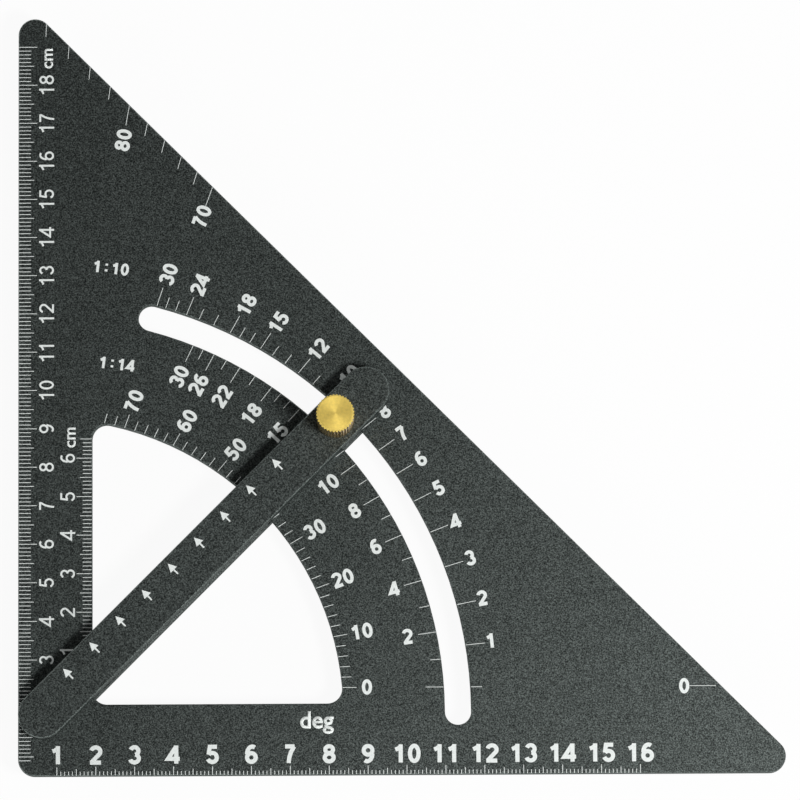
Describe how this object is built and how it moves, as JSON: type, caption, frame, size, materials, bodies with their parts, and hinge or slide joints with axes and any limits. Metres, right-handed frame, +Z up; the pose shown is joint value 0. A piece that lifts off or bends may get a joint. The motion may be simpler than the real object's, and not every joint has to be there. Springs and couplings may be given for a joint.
{
  "type": "adjustable speed square",
  "caption": "Flat triangular marking square with ruled edges and angle scales, a two-bar arm that swings on a pivot near the heel, and a knurled nut that clamps the arm through a curved slot.",
  "frame": {"origin": "under the middle of the plate's outline, level with the underside of the lower bar, with the square lying flat", "axes": "+Z up out of the marked face, +X along the bottom leg away from the heel, +Y along the ruler leg away from the heel"},
  "size_m": [0.1974, 0.1974, 0.0279],
  "materials": {
    "coated_plate": "charcoal coating with a fine speckle, satin",
    "coated_bar": "charcoal coating with a fine speckle, satin",
    "steel": "zinc plated",
    "nylon": "plain",
    "brass": "turned and knurled",
    "marking_ink": "printed"
  },
  "bodies": {
    "plate": {"square_plate": "coated_plate"},
    "arm": {"upper_bar": "coated_bar", "lower_bar": "coated_bar", "pivot_bush": "steel", "lower_pivot_washer": "nylon", "upper_pivot_washer": "nylon", "pivot_screw": "steel", "clamp_stud": "steel"},
    "washer": {"nut_washer": "nylon"},
    "nut": {"thumb_nut": "brass"}
  },
  "joints": [
    {"name": "arm_swing", "type": "hinge", "parent": "plate", "child": "arm", "pos_m": [-0.09176, -0.08261, 0.0069], "axis": [0, 0, 1], "range_deg": [-45, 30]},
    {"name": "nut_lift", "type": "slide", "parent": "arm", "child": "washer", "axis": [0, 0, 1], "range_m": [0, 0.001]},
    {"name": "nut_turn", "type": "hinge", "parent": "washer", "child": "nut", "pos_m": [-0.01663, -0.00748, 0.02115], "axis": [0, 0, 1], "range_deg": [0, 360]}
  ],
  "couplings": [
    {"joint": "nut_lift", "follows": "nut_turn", "m_per_rad": 0.00015915}
  ]
}
